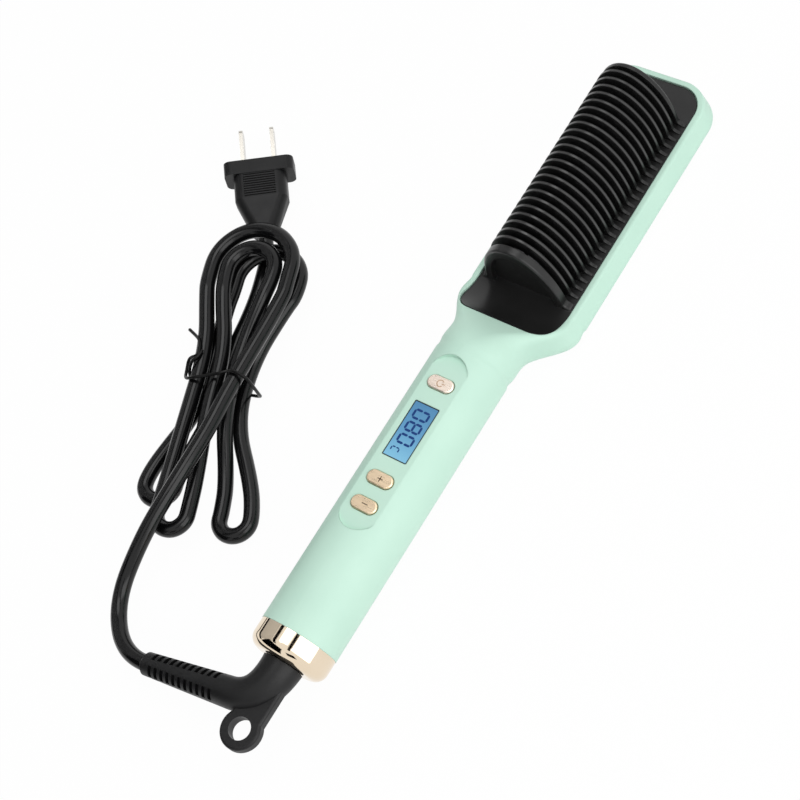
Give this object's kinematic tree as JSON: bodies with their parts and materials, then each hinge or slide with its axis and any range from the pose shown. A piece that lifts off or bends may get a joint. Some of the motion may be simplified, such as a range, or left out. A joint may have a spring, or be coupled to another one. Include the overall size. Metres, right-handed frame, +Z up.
{
  "type": "hair straightening comb",
  "caption": "Corded hair straightening comb with a round handle, panel of buttons and display, arched rib cover over heating fins, swivel cord with hanging eye, hank and plug.",
  "frame": {"origin": "middle of the comb's footprint on the surface it lies on, without the cord, elbow and plug", "axes": "+Y along the handle towards the tip of the head, +Z up out of the comb face, +X to the right seen from above"},
  "size_m": [0.1759, 0.3026, 0.04],
  "materials": {
    "casing": "satin mint moulded plastic",
    "black_plastic": "fine satin black",
    "black_rubber": "smooth satin black",
    "dark_aluminium": "dark coated cast fins",
    "white_ceramic": "sintered ceramic plate",
    "mica": "pressed mica sheet",
    "steel": "zinc plated",
    "glass_bead": "sealed bead",
    "wire_sleeve": "silicone sleeve",
    "board": "solder mask",
    "clear_window": "polished acrylic",
    "display_blue": "lit display face",
    "white_plastic": "moulded",
    "gold": "champagne gold plating",
    "brass": "turned",
    "nickel": "nickel plated"
  },
  "bodies": {
    "comb": {"front_shell": "casing", "rear_cover": "casing", "cover_screws": "steel", "comb_cover": "black_plastic", "heating_comb": "dark_aluminium", "ceramic_heater": "white_ceramic", "insulation_sheet": "mica", "heater_clamp": "steel", "heater_screws": "steel", "thermistor": "glass_bead", "thermal_fuse": "steel", "heater_leads": "wire_sleeve", "mains_leads": "wire_sleeve", "control_board": "board", "board_screws": "steel", "power_module": "black_plastic", "display_window": "clear_window", "display_module": "display_blue", "display_holder": "white_plastic", "switch_bodies": "black_plastic", "end_cap": "gold", "contact_block": "white_plastic", "cord_lead": "black_rubber", "cord_hank": "black_rubber", "twist_tie": "black_plastic", "plug_body": "black_rubber", "plug_blades": "nickel"},
    "power_key": {"power_button": "gold", "power_plunger": "white_plastic"},
    "plus_key": {"plus_button": "gold", "plus_plunger": "white_plastic"},
    "minus_key": {"minus_button": "gold", "minus_plunger": "white_plastic"},
    "swivel": {"swivel_collar": "brass", "cord_elbow": "black_rubber", "bend_relief": "black_rubber"}
  },
  "joints": [
    {"name": "power_press", "type": "slide", "parent": "comb", "child": "power_key", "axis": [0, 0, -1], "range_m": [0, 0.0005], "stiffness_N_per_m": 800},
    {"name": "plus_press", "type": "slide", "parent": "comb", "child": "plus_key", "axis": [0, 0, -1], "range_m": [0, 0.0005], "stiffness_N_per_m": 800},
    {"name": "minus_press", "type": "slide", "parent": "comb", "child": "minus_key", "axis": [0, 0, -1], "range_m": [0, 0.0005], "stiffness_N_per_m": 800},
    {"name": "cord_swivel", "type": "hinge", "parent": "comb", "child": "swivel", "pos_m": [0, -0.1342, 0.015], "axis": [0, 1, 0], "continuous": true}
  ]
}
